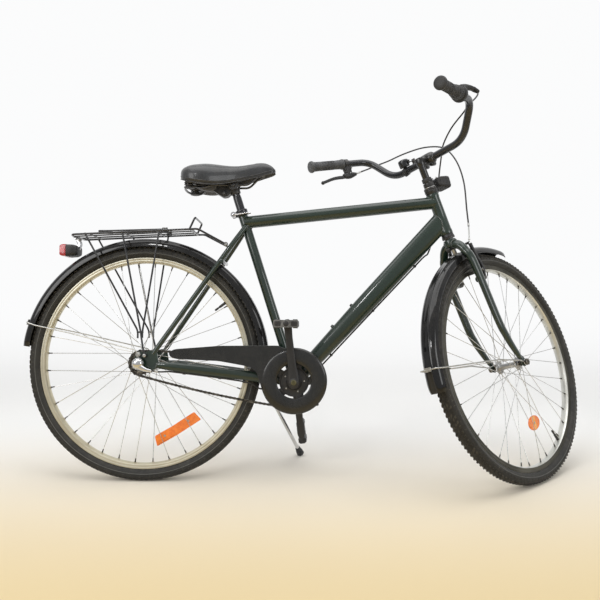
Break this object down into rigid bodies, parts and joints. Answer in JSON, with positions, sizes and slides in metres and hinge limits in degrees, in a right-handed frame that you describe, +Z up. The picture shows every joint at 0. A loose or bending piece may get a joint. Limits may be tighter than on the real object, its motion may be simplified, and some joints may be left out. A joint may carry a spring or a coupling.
{
  "type": "bicycle",
  "caption": "City bicycle standing on its side stand with turned handlebar, fenders, rear rack, chain guard and lamps.",
  "frame": {"origin": "middle of the bounding box, on the floor that both tyres and the stand's foot touch", "axes": "+X forward along the bicycle, +Y to the bicycle's left, +Z up; the bicycle leans to +Y on its stand"},
  "size_m": [1.7452, 0.5312, 1.1339],
  "materials": {
    "green_paint": "gloss",
    "black_paint": "gloss",
    "black_plastic": "matte",
    "rubber": "matte",
    "cable_housing": "satin",
    "tyre": "matte",
    "vinyl": "satin",
    "alloy": "satin",
    "steel": "satin",
    "chain_steel": "satin",
    "red_lens": "gloss",
    "clear_lens": "gloss",
    "amber": "gloss"
  },
  "bodies": {
    "frame_body": {"frame": "green_paint", "headset_upper_cup": "black_paint", "headset_lower_cup": "black_paint", "bottom_bracket": "steel", "seat_clamp": "black_paint", "rack": "black_paint", "rear_light_body": "black_plastic", "rear_light_lens": "red_lens", "rear_fender": "black_paint", "rear_fender_stay": "steel", "chain_guard": "black_plastic", "chain": "chain_steel", "rear_axle": "steel", "kickstand_bracket": "steel", "shift_cable": "cable_housing"},
    "seat": {"seat_post": "black_paint", "saddle_clamp": "black_paint", "saddle_rails": "steel", "saddle_spring_left": "steel", "saddle_spring_right": "steel", "saddle_cover": "vinyl"},
    "seat_clamp_lever": {"seat_clamp_lever": "steel"},
    "rack_clip": {"rack_clip": "black_paint"},
    "kickstand": {"kickstand_leg": "steel", "kickstand_foot": "rubber"},
    "crankset": {"crank_spindle": "steel", "chainring": "black_paint", "crank_arm_right": "black_paint", "crank_arm_left": "black_paint"},
    "pedal_right": {"pedal_right": "black_plastic"},
    "pedal_left": {"pedal_left": "black_plastic"},
    "rear_sprocket": {"rear_sprocket": "chain_steel"},
    "rear_wheel": {"rear_tyre": "tyre", "rear_rim": "alloy", "rear_hub": "steel", "rear_reflector": "amber"},
    "steering": {"fork": "green_paint", "stem": "black_paint", "handlebar": "black_paint", "grip_left": "rubber", "grip_right": "rubber", "brake_lever_clamp": "black_paint", "shifter_housing": "black_plastic", "bell_body": "black_plastic", "headlight_body": "black_plastic", "headlight_lens": "clear_lens", "front_fender": "black_paint", "front_fender_stay": "steel", "front_axle": "steel", "brake_cable": "cable_housing"},
    "front_wheel": {"front_tyre": "tyre", "front_rim": "alloy", "front_hub": "steel", "front_reflector": "amber"},
    "brake_lever": {"brake_lever": "black_paint"},
    "brake_arm_left": {"brake_arm_left": "black_paint"},
    "brake_arm_right": {"brake_arm_right": "black_paint"},
    "shifter_collar": {"shifter_collar": "rubber"},
    "bell_lever": {"bell_lever": "steel"}
  },
  "joints": [
    {"name": "steering_turn", "type": "hinge", "parent": "frame_body", "child": "steering", "pos_m": [0.55634, -0.03558, 0.32299], "axis": [-0.3398, 0.1237, 0.9323], "range_deg": [-118, 32], "deforming": ["shift_cable"]},
    {"name": "seat_height", "type": "slide", "parent": "frame_body", "child": "seat", "axis": [-0.3018, 0.1254, 0.9451], "range_m": [-0.035, 0.08]},
    {"name": "seat_lever_turn", "type": "hinge", "parent": "frame_body", "child": "seat_clamp_lever", "pos_m": [-0.23621, 0.02631, 0.78935], "axis": [0, 0.9913, -0.1316], "range_deg": [-160, 0]},
    {"name": "rack_clip_lift", "type": "hinge", "parent": "frame_body", "child": "rack_clip", "pos_m": [-0.44111, 0.02058, 0.74615], "axis": [0, 0.9913, -0.1316], "range_deg": [0, 80], "stiffness_Nm_per_rad": 0.6, "springref_deg": -22.92},
    {"name": "kickstand_fold", "type": "hinge", "parent": "frame_body", "child": "kickstand", "pos_m": [-0.13711, 0.00273, 0.25448], "axis": [0.091, 0.8265, 0.5555], "range_deg": [0, 108]},
    {"name": "crank_turn", "type": "hinge", "parent": "frame_body", "child": "crankset", "pos_m": [-0.05197, -0.03936, 0.29452], "axis": [0, 0.9913, -0.1316], "range_deg": [-280, 0], "deforming": ["chain"]},
    {"name": "pedal_right_spin", "type": "hinge", "parent": "crankset", "child": "pedal_right", "pos_m": [-0.06993, -0.01712, 0.4621], "axis": [0, 0.9913, -0.1316], "continuous": true},
    {"name": "pedal_left_spin", "type": "hinge", "parent": "crankset", "child": "pedal_left", "pos_m": [-0.034, -0.0616, 0.12694], "axis": [0, 0.9913, -0.1316], "continuous": true},
    {"name": "sprocket_turn", "type": "hinge", "parent": "frame_body", "child": "rear_sprocket", "pos_m": [-0.50275, -0.03228, 0.34789], "axis": [0, 0.9913, -0.1316], "range_deg": [-592, 0]},
    {"name": "rear_wheel_spin", "type": "hinge", "parent": "frame_body", "child": "rear_wheel", "pos_m": [-0.50275, -0.03228, 0.34789], "axis": [0, 0.9913, -0.1316], "continuous": true},
    {"name": "front_wheel_spin", "type": "hinge", "parent": "steering", "child": "front_wheel", "pos_m": [0.59795, 0.0073, 0.33247], "axis": [-0.6414, 0.6945, -0.326], "continuous": true},
    {"name": "brake_lever_squeeze", "type": "hinge", "parent": "steering", "child": "brake_lever", "pos_m": [0.12069, 0.17785, 0.93039], "axis": [-0.4571, 0.8446, -0.2787], "range_deg": [0, 10], "stiffness_Nm_per_rad": 1, "springref_deg": -8.59, "deforming": ["brake_cable"]},
    {"name": "brake_arm_left_swing", "type": "hinge", "parent": "steering", "child": "brake_arm_left", "pos_m": [0.45733, 0.0529, 0.57442], "axis": [0.6878, 0.7088, 0.1566], "range_deg": [0, 5]},
    {"name": "brake_arm_right_swing", "type": "hinge", "parent": "steering", "child": "brake_arm_right", "pos_m": [0.5125, -0.00683, 0.60245], "axis": [0.6878, 0.7088, 0.1566], "range_deg": [-5, 0]},
    {"name": "shifter_twist", "type": "hinge", "parent": "steering", "child": "shifter_collar", "pos_m": [0.38499, -0.16648, 1.11164], "axis": [0.5476, 0.8362, -0.0294], "range_deg": [-40, 40]},
    {"name": "bell_lever_flick", "type": "hinge", "parent": "steering", "child": "bell_lever", "pos_m": [0.30516, 0.12355, 0.95996], "axis": [-0.3398, 0.1237, 0.9323], "range_deg": [-30, 0], "stiffness_Nm_per_rad": 0.02, "springref_deg": 11.46}
  ],
  "couplings": [
    {"joint": "sprocket_turn", "follows": "crank_turn", "ratio": 2.1111},
    {"joint": "brake_arm_left_swing", "follows": "brake_lever_squeeze", "ratio": 0.5},
    {"joint": "brake_arm_right_swing", "follows": "brake_lever_squeeze", "ratio": -0.5}
  ]
}
